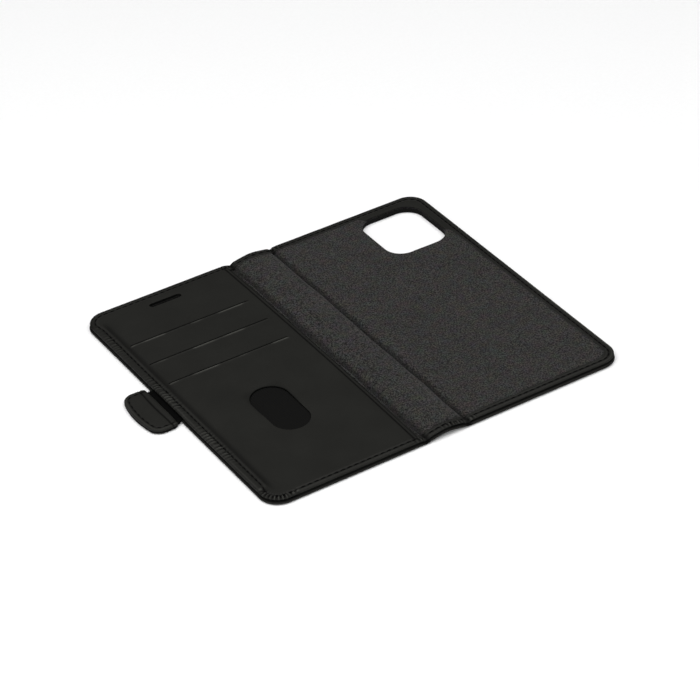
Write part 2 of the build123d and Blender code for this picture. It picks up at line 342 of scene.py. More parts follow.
class Half:
    """One half of the open wallet in plan, from a straight cut to its rounded free edge."""

    def __init__(self, cut, edge, corner, inset=0.0, top=TOP_EDGE, middle=0.0):
        self.side = 1 if edge > cut else -1
        self.cut = cut
        self.edge = edge - self.side * inset
        self.top = top - inset
        self.middle = middle
        self.corner = corner - inset

    def blank(self, hem=0):
        """The flat size that this half is cut to."""
        return abs(self.edge - self.cut) + hem, 2 * self.top + hem

    def lines(self, step, fine_x=(), fine_y=()):
        """Lines between the corners' centres."""
        reach = abs(self.edge - self.cut) - self.corner
        fine = [(self.side * (place - self.cut), wide, small) for place, wide, small in fine_x]
        xs = self.cut + self.side * places(0, reach, step, fine)
        half = self.top - self.corner
        ys = places(self.middle - half, self.middle + half, step, fine_y)
        return xs, ys

    def net(self, step, lip, near=(), fine_x=(), fine_y=()):
        """Plan points on lines that follow the free edge, and the directions out of its corners."""
        total = abs(self.edge - self.cut)
        near = [lip, *(distance for distance in near if distance > lip)]
        fine = [(self.side * (place - self.cut), wide, small) for place, wide, small in fine_x]
        across = places(0, total - near[-1], step, fine)
        across = np.concatenate([across, total - np.array(near[-2::-1])]) if near[1:] else across
        half = self.top - near[-1]
        fine = [(place - self.middle, wide, small) for place, wide, small in fine_y]
        along = places(-half, half, step, fine)
        if near[1:]:
            ends = self.top - np.array(near[:-1])
            along = np.concatenate([-ends, along, ends[::-1]])
        across, along = np.meshgrid(across, along, indexing="ij")
        out = across - (total - self.corner)
        up = np.abs(along) - (self.top - self.corner)
        far = np.maximum(np.maximum(out, up), 1e-9)
        turn = np.where(out >= up, pi / 4 * up / far, pi / 2 - pi / 4 * out / far)
        turned = (out > 0) & (up > 0)
        sign = np.where(along < 0, -1, 1)
        plan_out = np.where(turned, far * np.cos(turn), out)
        plan_up = np.where(turned, far * np.sin(turn), up)
        x = self.cut + self.side * (total - self.corner + plan_out)
        y = self.middle + np.where(turned, sign * (self.top - self.corner + plan_up), along)
        outward = np.stack([np.cos(turn) * self.side, np.sin(turn) * sign], -1)
        ends = ~turned & (up > out)
        outward[ends] = (0, 1)
        outward[ends, 1] = sign[ends]
        outward[~turned & ~ends] = (self.side, 0)
        return np.stack([x, y], -1), outward

    def rim(self, xs, ys, arc_steps=14):
        """The free edge, from the cut along the bottom, round the side and back along the top."""
        middle = self.edge - self.side * self.corner
        turns = np.linspace(0, pi / 2, arc_steps + 1)
        points, outward = [], []

        def run(line, way):
            """Adds points whose outward directions are the same."""
            points.extend(line)
            outward.extend([way] * len(line))

        def arc(level, ways):
            """Adds a rounded corner."""
            for way in ways:
                run([(middle + self.corner * way[0], level + self.corner * way[1])], way)

        run([(x, self.middle - self.top) for x in xs], (0, -1))
        arc(ys[0], [(self.side * sin(turn), -cos(turn)) for turn in turns[1:-1]])
        run([(self.edge, y) for y in ys], (self.side, 0))
        arc(ys[-1], [(self.side * cos(turn), sin(turn)) for turn in turns[1:-1]])
        run([(x, self.middle + self.top) for x in xs[::-1]], (0, 1))
        return Rim(points, outward)

    def depth(self, x, y):
        """Distance inwards from the free edge."""
        across = self.side * (self.edge - x)
        along = self.top - np.abs(y - self.middle)
        in_corner = self.corner - np.hypot(self.corner - across, self.corner - along)
        return np.where((across < self.corner) & (along < self.corner), in_corner,
                        np.minimum(across, along))


def closed_sheet(name, half, top, bottom, material, step=0.8, lip=0.9, reach=0.0, near=(), holes=(),
                 hole_lip=0.3, hole_rings=(0.6, 1.1), fine_x=(), fine_y=(), sharp=50, warp=None,
                 pressed=None):
    """A sheet with a rounded free edge, rounded openings and a square cut beside the spine."""
    patches = Patches()
    plan, outward = half.net(step, lip, near, fine_x, fine_y)
    keep = np.ones((plan.shape[0] - 1, plan.shape[1] - 1), bool)
    for hole in holes:
        block = hole.block(plan, hole_rings[-1] + 0.15)
        keep[block[0]:block[1], block[2]:block[3]] = False
        loop = loop_of(plan, block)
        ring = hole.rim(loop)
        close = np.concatenate([ring.inside([hole_lip, *hole_rings]), loop[:, None]], 1)
        for face in (top, bottom):
            patches.rows(lift(close, face), closed=True)
        ring.roll(patches, hole_lip, 0.0, top, bottom, 6)
    for face in (top, bottom):
        patches.rows(lift(plan, face), keep)
    free = [np.concatenate([grid[:, 0], grid[-1, 1:-1], grid[::-1, -1]]) for grid in (plan, outward)]
    flat, level = Rim(free[0] + free[1] * lip, free[1]).roll(patches, lip, reach, top, bottom)
    patches.rows([lift(plan[0], top), lift(plan[0], bottom)])
    for end in (0, -1):
        patches.face(np.concatenate([flat[end], level[end][:, None]], -1))
    if warp:
        patches.points = list(warp(np.array(patches.points)))
    return patches.make(name, material, sharp, pressed)


# --- the shape of the layers ----------------------------------------
class Sizes:
    """A property group's lengths in millimetres."""

    def __init__(self, group):
        for name in group.__annotations__:
            setattr(self, name, getattr(group, name) / MM)


class Wallet:
    """Heights of the layers over the plan of the wallet, in millimetres."""

    spine_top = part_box("spine_suede_lining")[1].z / MM

    def __init__(self):
        self.size = Sizes(bpy.context.scene.wallet_shape)
        self.seam = Sizes(bpy.context.scene.wallet_thread)
        size = self.size
        self.back = Half(SPINE_MIDDLE, BACK_EDGE, size.corner)
        self.cover = Half(SPINE_MIDDLE, COVER_EDGE, size.corner)
        x = BACK_EDGE - size.window_side - size.window_width / 2
        y = TOP_EDGE - size.window_top - size.window_height / 2
        self.window = Hole(x, y, size.window_width, size.window_height, size.window_radius)
        x = COVER_EDGE + size.slit_side + size.slit_length / 2
        top = TOP_EDGE - size.slit_top
        self.slits = [Hole(x, top - row * size.slit_pitch, size.slit_length, size.slit_width,
                           size.slit_width / 2) for row in range(3)]
        low = top - 2 * size.slit_pitch - size.thumb_gap - size.thumb_height / 2
        self.thumb = Hole(x, low, size.thumb_width, size.thumb_height, size.thumb_width / 2)
        wide = size.speaker_width - SLOT_LINING
        self.speaker = Hole(x, TOP_EDGE - size.speaker_top, size.speaker_length - SLOT_LINING, wide,
                            wide / 2)

    def margin(self, x, y):
        """Distance inwards from the free edges of the wallet."""
        return np.where(x > SPINE_MIDDLE, self.back.depth(x, y), self.cover.depth(x, y))

    def beside(self, hole, x, y):
        """Distance from the outline of an opening."""
        return np.linalg.norm(hole.from_core(np.stack([x, y], -1)), axis=-1) - hole.radius

    def along_side(self, x, y):
        """1 beside the cover's free edge, 0 at its corners and elsewhere."""
        return smooth((COVER_EDGE + 12 - x) / 6) * smooth((TOP_EDGE - 6 - np.abs(y)) / 8)

    def seam_at(self, side):
        """The seam's distance from the edge, which is more beside the cover's free edge."""
        return self.seam.inset + (self.seam.side_inset - self.seam.inset) * side

    def rounding(self, margin):
        """1 at the edge, 0 where the leather lies flat."""
        return smooth((1.9 - margin) / 0.9)

    def tent(self, x):
        """The spine stands up like a low tent, with a soft ridge."""
        away = np.hypot(x - SPINE_MIDDLE, 3.0) - 1.4
        return self.size.spine_rise * np.clip(1 - away / HALF_SPINE, 0, 1)

    def fold_at(self, fold, y):
        """A fold's line, which wanders a little."""
        return fold + 0.22 * np.sin(y / 11.0 + fold) + 0.12 * np.sin(y / 4.3)

    def creases(self, x, y, width=0.95):
        """Depth of the grooves at the two folds."""
        found = [bump(x - self.fold_at(fold, y), width) for fold in (BACK_FOLD, COVER_FOLD)]
        return self.size.crease * np.maximum(*found)

    def on_back(self, x):
        """0 on the spine and the cover, 1 on the thicker back panel."""
        return smooth((x - BACK_FOLD + 0.8) / 1.6)

    def lip(self, x, y):
        """Where the outer leather's turned-up edge meets the lining's edge."""
        level = COVER_LIP + (BACK_LIP - COVER_LIP) * self.on_back(x)
        return level + self.tent(x) - 0.3 * self.creases(x, y, 1.4)

    def under(self, x, y):
        """The outer face, dented along the seam."""
        dent = 0.18
        return self.tent(x) + dent * bump(self.margin(x, y) - self.seam.inset, 0.5)

    def outer_top(self, x, y):
        """The inner face of the outer leather: thick at the hems, thin under the boards."""
        margin = self.margin(x, y)
        hem = margin < HEM - SKIN
        hem |= self.beside(self.window, x, y) < WINDOW_HEM
        hem |= self.beside(self.speaker, x, y) < SLOT_TURN
        rounded = 0.55 * self.rounding(margin)
        return np.where(hem, self.lip(x, y) - rounded, LEATHER + self.tent(x) - SKIN)

    def border_reach(self, x, y):
        """Width of the smooth border, which widens round the camera window's free corner."""
        widest = 5.5
        corner = smooth((x - 5.0) / 4) * smooth((y - 43.5) / 4.5)
        wobble = 0.18 * np.sin(x / 3.1 + y / 4.7) + 0.12 * np.sin(y / 2.1 - x / 1.7)
        return self.size.border + wobble + widest * corner

    def field(self, x, y):
        """Height of the suede where it lies open."""
        level = self.spine_top - self.size.spine_rise + self.tent(x)
        level = level + (BACK_TOP - 0.1 - self.spine_top + self.size.spine_rise) * self.on_back(x)
        return level - self.creases(x, y) + 0.06 * waves(x, y, 9.0, 1.0)

    def suede_top(self, x, y):
        """The suede, pressed down where the border runs over it."""
        sunk, thinnest = 0.85, 0.15
        pressed = 1 - smooth((self.margin(x, y) - self.border_reach(x, y) + 1.0) / 0.9)
        return np.maximum(self.field(x, y) - sunk * pressed, self.suede_under(x, y) + thinnest)

    def suede_under(self, x, y):
        """The underside of the suede, down in the folds but above the outer leather."""
        sunk = self.lip(x, y) - 0.5 * self.creases(x, y, 1.3) + GLUED
        return np.maximum(sunk, LEATHER + self.tent(x))

    def crimps(self, x, y):
        """Gathers in the edge: at the bottom corners, at the folds and at the strap."""
        gather, between = 1.55, 0.97       # spacing of the gathers, and of the finer ones
        bead = 1.7                         # spacing of the small folds along the free edge
        fan_folds = 15                     # folds to a radian round the corner
        along = x + 0.35 * np.sin(x / 2.3)
        ripple = 1 - 2 * np.abs(np.sin(pi * along / gather)) + 0.4 * np.sin(2 * pi * along / between)
        deep = 0.82 * (y < 0) * bump(x - SPINE_MIDDLE - 4.0, 3.4)
        deep = deep + 0.4 * bump(x - BACK_FOLD - 1.5, 2.2) + 0.35 * bump(x - COVER_FOLD + 3.0, 3.0)
        deep = deep + 0.1 * bump(x - SPINE_MIDDLE, 6.0)
        turn_x = COVER_EDGE + self.size.corner
        turn_y = -TOP_EDGE + self.size.corner
        angle = np.arctan2(y - turn_y, x - turn_x)
        in_turn = (x < turn_x + 5) & (y < turn_y + 2)
        fan = 0.62 * in_turn * (1 - 2 * np.abs(np.sin(angle * fan_folds)))
        side = (x < COVER_EDGE + 6) & (np.abs(y) < TOP_EDGE - self.size.corner)
        beads = np.sin(2 * pi * y / bead + 0.8 * np.sin(y / 2.9)) * (0.5 + 0.5 * np.sin(y / 7.3))
        near_strap = 0.35 + 0.65 * bump(y + 12, 26.0)      # deepest just below the strap
        return deep * ripple + fan + 0.6 * side * near_strap * beads

    def edge_relief(self, x, y, margin, inset):
        """Puffed edge, sunk seam and gathers between them."""
        seam = -0.36 * bump(margin - inset, 0.5)
        puff = 0.1 * bump(margin - inset / 2, inset / 3)
        gathers = bump(margin - inset * 0.7, inset * 0.6) * self.crimps(x, y)
        return seam + puff + 0.75 * gathers

    def border_top(self, x, y):
        """The upper face of the smooth border."""
        level = self.field(x, y) + 0.12 + 0.55 * self.creases(x, y)
        return level + self.edge_relief(x, y, self.margin(x, y), self.seam.inset)

    def wear_and_painted_light(self, x, y, z):
        """Painted light: 1 where shade is painted dark, as in seams, folds, the lips' groove and the
        walls of the openings, and less than 0 where highlights are painted pale, as on gathers, lips
        and the edges of the slits."""
        margin = self.margin(x, y)
        cover = x < COVER_FOLD
        side = self.along_side(x, y)
        inset = self.seam_at(side)
        dark = 0.45 * bump(margin - inset, 0.42)
        dark = np.maximum(dark, 0.85 * self.creases(x, y, 1.1) / self.size.crease)
        lip = self.lip(x, y)
        inner = z > lip - 0.6
        dark = np.maximum(dark, 0.5 * side * inner * bump(margin - 6.3, 1.5))
        crimps = self.crimps(x, y)
        valley = np.clip(-crimps * 4, 0, 1)
        dark = np.maximum(dark, 0.98 * inner * valley * bump(margin - inset * 0.7, inset * 0.6))
        lips = (margin < 1.3) * smooth((0.75 - np.abs(z - lip)) / 0.3)
        foot = (margin < 0.5) * smooth((0.35 - z + self.tent(x)) / 0.3)
        dark = np.maximum(dark, np.maximum(0.97 * lips, 0.8 * foot))
        for hole, low, top in ((self.window, -1, BACK_TOP), (self.speaker, -1, COVER_TOP),
                               (self.thumb, COVER_LIP + 0.5, COVER_TOP)):
            wall = (np.abs(self.beside(hole, x, y)) < 0.3) & (z < top - 0.12) & (z > low)
            dark = np.maximum(dark, np.where(z > top - 1.1, 0.97, 0.75) * wall)
        # Painted shade round the thumb window's far side and beside the card panel's loose edge.
        open_face = z > lip + 0.5
        beyond = smooth((y - self.thumb.centre[1] + 4) / 8)
        ring = bump(self.beside(self.thumb, x, y) - 0.1, 0.3) * beyond
        dark = np.maximum(dark, 0.9 * cover * open_face * ring)
        free = x - self.panel_edge(y)
        edge = np.maximum(bump(free, 0.25), bump(free + PANEL_GROOVE, 0.28))
        dark = np.maximum(dark, cover * open_face * (margin > 3) * edge)
        # Painted highlights on the gathers' crests, on the lips, beside the seam, at the back fold and
        # below the slits.
        painted_highlight = 2.2 * np.clip(crimps * 3, 0, 1) * bump(margin - inset * 0.6, inset * 0.5)
        # The lips' painted highlight stays on the near side, which faces the lights; the far edges get
        # painted shade.
        near_side = smooth((40 - y) / 60)
        far_edge = smooth((y - TOP_EDGE + 14) / 8)
        dark = np.maximum(dark, 0.75 * far_edge * bump(margin - 0.5, 0.7))
        painted_highlight = np.maximum(painted_highlight, 0.85 * near_side * bump(margin - 1.25, 0.32))
        painted_highlight = np.maximum(painted_highlight, 0.4 * bump(margin - inset - 0.75, 0.3))
        turn = bump(x - BACK_FOLD - 1.3, 0.5) * bump(margin - 1.2, 1.1) * (y < 0)
        painted_highlight = np.maximum(painted_highlight, 2.6 * turn)
        for slit in self.slits:
            along = smooth((slit.half[0] + 0.3 - np.abs(x - slit.centre[0])) / 0.6)
            above = y - slit.centre[1]
            dark = np.maximum(dark, open_face * along * bump(above - 0.22, 0.3))
            patchy = 0.35 + 2.2 * np.sin(x / 4.1 + slit.centre[1]) * np.sin(x / 9.7)
            bright = 3 * np.clip(patchy, 0.1, 1) * along
            painted_highlight = np.maximum(painted_highlight, bright * bump(above + 0.65, 0.32))
        return dark - painted_highlight * open_face * (1 - dark)

    def panel_edge(self, y):
        """The loose edge of the card panel, which bows out a little towards the spine."""
        return PANEL_EDGE + PANEL_BOW * (1 - (y / TOP_EDGE) ** 2)

    def nap_painted_shade(self, x, y, z):
        """Painted shade on the suede: in the folds, at the border and on the window's wall."""
        dark = 0.85 * self.creases(x, y, 1.15) / self.size.crease
        dark = np.maximum(dark, 0.6 * bump(self.margin(x, y) - self.border_reach(x, y), 0.55))
        return np.maximum(dark, 0.95 * (self.beside(self.window, x, y) < 0.25) * (z < BACK_TOP - 0.2))

    def panel_top(self, x, y):
        """The card panel, which rolls down into its seam and stands proud over the strap."""
        margin = self.cover.depth(x, y)
        side = self.along_side(x, y)
        level = COVER_TOP + self.edge_relief(x, y, margin, self.seam_at(side))
        level = level - 0.3 * side * bump(margin - 6.4, 1.7) + 0.25 * side * bump(margin - 4.9, 0.7)
        over_strap = smooth((STRAP_HALF + 1.5 - np.abs(y - STRAP_MIDDLE)) / 2.5)
        level = level + 0.4 * over_strap * bump(margin - 1.3, 1.6) * (x < COVER_EDGE + 9)
        for slit in self.slits:
            inside = smooth((slit.half[0] + 1.5 - np.abs(x - slit.centre[0])) / 3)
            above = y - slit.centre[1]
            level = level - 0.14 * inside * np.where(above > 0, bump(above, 0.5), 0)
            level = level + 0.13 * inside * np.where(above <= 0, bump(above + 0.35, 0.45), 0)
        level = level + 0.07 * waves(x, y, 21.0, 4.0) + 0.02 * waves(x, y, 5.0, 9.0)
        level = level - 0.3 * bump(x - PANEL_EDGE + PANEL_GROOVE, 0.28) * (margin > 3)
        return level - 0.2 * bump(x - COVER_FOLD, 2.5)

    def panel_under(self, x, y):
        """The card panel's underside: thin over the pockets, down on the hem round them."""
        margin = self.cover.depth(x, y)
        inside = (margin > HEM) & (self.beside(self.speaker, x, y) > SLOT_TURN)
        pockets = COVER_TOP - PANEL_THICK
        return np.where(inside, pockets, COVER_LIP + GLUED + 0.4 * self.rounding(margin))

    def border_under(self, x, y):
        """The border's underside: on the hem at the edge, sunk in the suede further in."""
        return self.lip(x, y) + GLUED + 0.4 * self.rounding(self.margin(x, y))


def head_bow(x, y):
    """How far the clasp's bowed end carries a point out."""
    part = smooth((HEAD_NECK - x) / (HEAD_NECK - HEAD_END))
    return HEAD_BOW * part * (1 - np.clip((y - HEAD_MIDDLE) / HEAD_HALF, -1, 1) ** 2)


def turn_at(piece):
    """Bakes the piece's placement into its mesh."""
    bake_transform(piece)


def lay_sheet(nodes, flat):
    """Hides the frame's parts that a finished sheet stands for. Its cut size in millimetres is not
    used.
    """
    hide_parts(*nodes)


def strip(name, rim, reach, top, bottom, material, pressed, lip=0.7, step=0.28, end_thick=0.3):
    """A band along an edge: rolled outside, running in to a thin edge at the reach given."""
    patches = Patches()
    turns = np.linspace(-pi / 2, pi / 2, 9)
    steps = max(int((max(reach) - lip) / step), 3)
    sections = []
    for point, outward, wide in zip(rim.points, rim.outward, reach):
        roll = lip - lip * np.cos(turns)
        inner = np.linspace(lip, wide - 0.25, steps)
        tip = [wide - 0.06, wide, wide - 0.06]
        distances = np.concatenate([roll, inner, tip, inner[::-4]])
        plan = point - outward * distances[:, None]
        x, y = plan[:, 0], plan[:, 1]
        high, low = top(x, y), bottom(x, y)
        part = np.concatenate([0.5 + 0.5 * np.sin(turns), np.ones(len(inner)), [0.8, 0.5, 0.2],
                               np.zeros(len(inner[::-4]))])
        ending = np.clip((distances - (wide - 1.2)) / 1.0, 0, 1)
        low = low + (high - end_thick - low) * ending
        level = low + (high - low) * part
        sections.append(np.concatenate([plan, level[:, None]], -1))
    sections = np.array(sections)
    closed = np.concatenate([sections, sections[:, :1]], 1)
    patches.rows(closed)
    patches.face(sections[0])
    patches.face(sections[-1][::-1])
    return patches.make(name, material, 60, pressed)


# --- finishes -------------------------------------------------------
def fill(node, sockets):
    """Links or sets a node's input sockets."""
    for key, value in sockets.items():
        if isinstance(value, bpy.types.NodeSocket):
            node.id_data.links.new(value, node.inputs[key])
        else:
            node.inputs[key].default_value = value


def add_node(tree, kind, sockets=None, **settings):
    """Adds a node, sets it up, and links or fills its input sockets."""
    node = tree.nodes.new(kind)
    for name, value in settings.items():
        setattr(node, name, value)
    fill(node, sockets or {})
    return node


def per_metre(millimetres):
    """Texture scale whose pattern repeats in about this size."""
    return 1 / (millimetres * MM)


def per_wave(millimetres):
    """Scale of a wave texture whose bands are this far apart."""
    return per_metre(millimetres) / 6.3


def shades(tree, factor, colours, places_at=(0.3, 0.7)):
    """A ramp between colours given as linear light."""
    ramp = add_node(tree, "ShaderNodeValToRGB", {"Fac": factor})
    for stop, colour, place in zip(ramp.color_ramp.elements, colours, places_at):
        stop.position = place
        stop.color = (*colour, 1)
    return ramp.outputs["Color"]


def scaled(colour, factor):
    """A paler or darker colour."""
    return [min(part * factor, 1) for part in colour[:3]]


def surface(name, build):
    """The named material, built once."""
    found = bpy.data.materials.get(name)
    if found:
        return found
    material = bpy.data.materials.new(name)
    material.use_nodes = True
    tree = material.node_tree
    tree.nodes.clear()
    place = add_node(tree, "ShaderNodeTexCoord").outputs["Object"]
    shader = add_node(tree, "ShaderNodeBsdfPrincipled")
    build(tree, place, shader)
    add_node(tree, "ShaderNodeOutputMaterial", {"Surface": shader.outputs[0]})
    return material


def noise_at(tree, place, size, detail=2.0, roughness=0.5):
    """Noise with patches of about this size in millimetres."""
    node = add_node(tree, "ShaderNodeTexNoise", {"Vector": place, "Scale": per_metre(size),
                                                 "Detail": detail, "Roughness": roughness})
    return node.outputs["Fac"]


def relief(tree, height, depth, strength=1.0, under=None):
    """A bump of the given depth in millimetres."""
    sockets = {"Height": height, "Distance": depth * MM, "Strength": strength}
    sockets.update({"Normal": under} if under else {})
    return add_node(tree, "ShaderNodeBump", sockets).outputs["Normal"]


def painted_light_at(tree):
    """The painted shade and painted highlights that the piece's own mesh holds."""
    return add_node(tree, "ShaderNodeAttribute", attribute_name="pressed").outputs["Fac"]


def laid_over(tree, first, second, mode="MULTIPLY", factor=1.0):
    """Two colours, one laid over the other."""
    return add_node(tree, "ShaderNodeMix", {"Factor": factor, 6: first, 7: second},
                    data_type="RGBA", blend_type=mode).outputs[2]


def with_painted_light(tree, colour, darkest):
    """The colour, darker where the mesh holds painted shade and paler where it holds painted
    highlights.
    """
    tone = add_node(tree, "ShaderNodeMath", {0: painted_light_at(tree), 1: darkest - 1, 2: 1.0},
                    operation="MULTIPLY_ADD")
    return laid_over(tree, colour, tone.outputs[0])


def leather_finish(tree, place, shader):
    """Smooth-plated cowhide: near black, semi-matt, with a fine pebble and faint soft creasing."""
    colour = bpy.context.scene.wallet_colours.leather
    pebble = add_node(tree, "ShaderNodeTexVoronoi",
                      {"Vector": place, "Scale": per_metre(0.55)}, feature="SMOOTH_F1")
    cloud = noise_at(tree, place, 14.0, 3.0)
    fine = noise_at(tree, place, 2.6, 4.0, 0.6)
    tone = shades(tree, cloud, (scaled(colour, 0.93), scaled(colour, 1.08)))
    gloss = add_node(tree, "ShaderNodeMapRange", {"Value": fine, "To Min": 0.36, "To Max": 0.56})
    dull = add_node(tree, "ShaderNodeMix", {"Factor": painted_light_at(tree), "A": gloss.outputs["Result"],
                                            "B": 0.85})
    grain = relief(tree, pebble.outputs["Distance"], 0.018, 0.35)
    creases = relief(tree, fine, 0.05, 0.3, grain)
    # The base colour carries the painted shade and painted highlights of the pressed attribute.
    fill(shader, {"Base Color": with_painted_light(tree, tone, 0.05), "Roughness": dull.outputs[0],
                  "Normal": relief(tree, cloud, 0.35, 0.25, creases),
                  "IOR": 1.5, "Specular IOR Level": 0.06})


def suede_finish(tree, place, shader):
    """Microfibre suede: soft, with a short nap that scatters light in fine light and dark specks."""
    colour = bpy.context.scene.wallet_colours.suede
    fibre = noise_at(tree, place, 0.62, 1.5, 0.6)      # nap tufts, drawn coarse enough to show
    strand = noise_at(tree, place, 0.17, 2.0, 0.6)
    brushed = noise_at(tree, place, 17.0, 3.0)
    speck = shades(tree, fibre, (scaled(colour, 0.12), scaled(colour, 2.0)), (0.36, 0.64))
    wear_and_painted_light = shades(tree, brushed, ((0.93, 0.94, 0.93), (1.06, 1.05, 1.04)))
    dye = add_node(tree, "ShaderNodeTexNoise", {"Vector": place, "Scale": per_metre(4.0)})
    mottled = laid_over(tree, laid_over(tree, speck, wear_and_painted_light), dye.outputs["Color"], "OVERLAY", 0.28)
    nap = relief(tree, fibre, 0.35, 0.8, relief(tree, strand, 0.12, 0.6))
    # The base colour carries the painted shade of the pressed attribute.
    fill(shader, {"Base Color": with_painted_light(tree, mottled, 0.3), "Normal": nap, "Roughness": 0.95,
                  "Specular IOR Level": 0.12, "Sheen Weight": 0.08, "Sheen Roughness": 0.45})


def woven_finish(tree, place, shader):
    """Thin nylon lining: flat black with a tight plain weave."""
    colour = bpy.context.scene.wallet_colours.cloth
    threads = [add_node(tree, "ShaderNodeTexWave", {"Vector": place, "Scale": per_wave(0.5)},
                        bands_direction=way).outputs["Fac"] for way in "XY"]
    weave = add_node(tree, "ShaderNodeMath", dict(enumerate(threads)), operation="MULTIPLY").outputs[0]
    fill(shader, {"Base Color": shades(tree, weave, (scaled(colour, 0.7), scaled(colour, 1.5)), (0, 1)),
                  "Normal": relief(tree, weave, 0.05, 0.5), "Roughness": 0.8,
                  "Specular IOR Level": 0.1})


def thread_finish(tree, place, shader):
    """Waxed polyester thread: black, twisted, with a dull shine."""
    colour = bpy.context.scene.wallet_colours.thread
    twist = add_node(tree, "ShaderNodeTexWave",
                     {"Vector": place, "Scale": per_wave(0.45), "Distortion": 1.0},
                     bands_direction="DIAGONAL").outputs["Fac"]
    tone = shades(tree, twist, (scaled(colour, 0.6), scaled(colour, 1.8)), (0.2, 0.9))
    fill(shader, {"Base Color": tone, "Normal": relief(tree, twist, 0.06, 0.6), "Roughness": 0.75,
                  "Specular IOR Level": 0.06})


def board_finish(tree, place, shader):
    """Dyed pressed fibreboard: dull black-grey with paler fibres."""
    fibre = noise_at(tree, place, 0.8, 5.0, 0.7)
    fill(shader, {"Base Color": shades(tree, fibre, (linear("1d1c1b"), linear("2b2927"))),
                  "Normal": relief(tree, fibre, 0.08, 0.4), "Roughness": 0.92})


def magnet_finish(tree, place, shader):
    """Nickel-plated neodymium and steel: bright, faintly brushed."""
    brushed = noise_at(tree, place, 0.3, 3.0)
    gloss = add_node(tree, "ShaderNodeMapRange", {"Value": brushed, "To Min": 0.25, "To Max": 0.4})
    fill(shader, {"Base Color": shades(tree, brushed, (linear("b4b4b6"), linear("cfcfd0"))),
                  "Roughness": gloss.outputs["Result"], "Metallic": 1.0})


def foam_finish(tree, place, shader):
    """Soft polyurethane foam: matt black with small open cells."""
    cells = add_node(tree, "ShaderNodeTexVoronoi",
                     {"Vector": place, "Scale": per_metre(0.6)}).outputs["Distance"]
    fill(shader, {"Base Color": shades(tree, cells, (linear("101010"), linear("2c2c2c"))),
                  "Normal": relief(tree, cells, 0.2, 0.8), "Roughness": 0.95})


def floor_finish(tree, place, shader):
    """Matt white paper sweep, even but for a trace of tooth."""
    colour = bpy.context.scene.wallet_colours.floor
    tooth = noise_at(tree, place, 1.5, 2.0)
    fill(shader, {"Base Color": shades(tree, tooth, (scaled(colour, 0.99), scaled(colour, 1.01))),
                  "Roughness": 0.9, "Specular IOR Level": 0.1})


FINISHES = {
    "black_leather": ("SmoothPlatedCowhide", leather_finish),
    "grey_suede": ("MicrofibreSuede", suede_finish),
    "cover_board": ("PressedFibreboard", board_finish),
    "liner_cloth": ("WovenNylonLining", woven_finish),
    "black_thread": ("WaxedPolyesterThread", thread_finish),
    "magnet_steel": ("NickelPlatedMagnet", magnet_finish),
    "foam": ("PolyurethaneFoam", foam_finish),
}


def finish_of(slot_name):
    """The material of one of the record's slots."""
    return surface(*FINISHES[slot_name])


# --- operators ------------------------------------------------------
class WALLET_OT_outer_leather(bpy.types.Operator):
    """Outer leather with its turned-up hems, in two sheets that meet on the spine"""
    bl_idname = "wallet.outer_leather"
    bl_label = "Outer Leather"

    def execute(self, context):
        wallet = Wallet()
        near = (1.4, 2.0, 2.3, 2.6, 2.9, 3.2, 3.7, 3.96, 4.03, 5.2, 6.8)
        leather = finish_of("black_leather")
        for name, half, hole, fold, nodes in (
                ("back_cover_leather", wallet.back, wallet.window, BACK_FOLD, ["back_outer_leather"]),
                ("front_cover_leather", wallet.cover, wallet.speaker, COVER_FOLD,
                 ["cover_outer_leather", "spine_outer_leather"])):
            piece = closed_sheet(name, half, wallet.outer_top, wallet.under, leather, step=1.3,
                                 near=near, holes=[hole], fine_x=[(fold, 5, 0.45)],
                                 pressed=wallet.wear_and_painted_light, hole_lip=0.12,
                                 hole_rings=(0.17, 0.9, 1.6, 1.88, 1.95, 2.6))
            turn_at(piece)
            lay_sheet(nodes, half.blank(2 * HEM))
        return {"FINISHED"}


class WALLET_OT_suede_lining(bpy.types.Operator):
    """Suede of the back panel and the spine, creased at both folds"""
    bl_idname = "wallet.suede_lining"
    bl_label = "Suede Lining"

    def execute(self, context):
        wallet = Wallet()
        suede = finish_of("grey_suede")
        half = Half(SPINE_MIDDLE, BACK_EDGE, wallet.size.corner, TUCK)
        piece = closed_sheet("back_suede", half, wallet.suede_top, wallet.suede_under, suede,
                             step=1.1, lip=0.3, near=(1.0, 1.6, 2.2, 2.6, 3.0, 3.4, 3.8, 4.6, 6.0),
                             holes=[wallet.window], hole_lip=0.2, hole_rings=(0.5, 1.2),
                             fine_x=[(BACK_FOLD, 4, 0.22)], pressed=wallet.nap_painted_shade)
        turn_at(piece)
        lay_sheet(["back_suede_lining"], half.blank())
        half = Half(SPINE_MIDDLE, SPINE_SUEDE_END, 2.0, TUCK)
        half.edge = SPINE_SUEDE_END      # tucked in at its two ends only
        piece = closed_sheet("spine_suede", half, wallet.suede_top, wallet.suede_under, suede,
                             step=0.9, lip=0.2, fine_x=[(COVER_FOLD, 4, 0.22)],
                             fine_y=[(half.top, 6, 0.35), (-half.top, 6, 0.35)],
                             pressed=wallet.nap_painted_shade)
        turn_at(piece)
        lay_sheet(["spine_suede_lining"], half.blank())
        return {"FINISHED"}


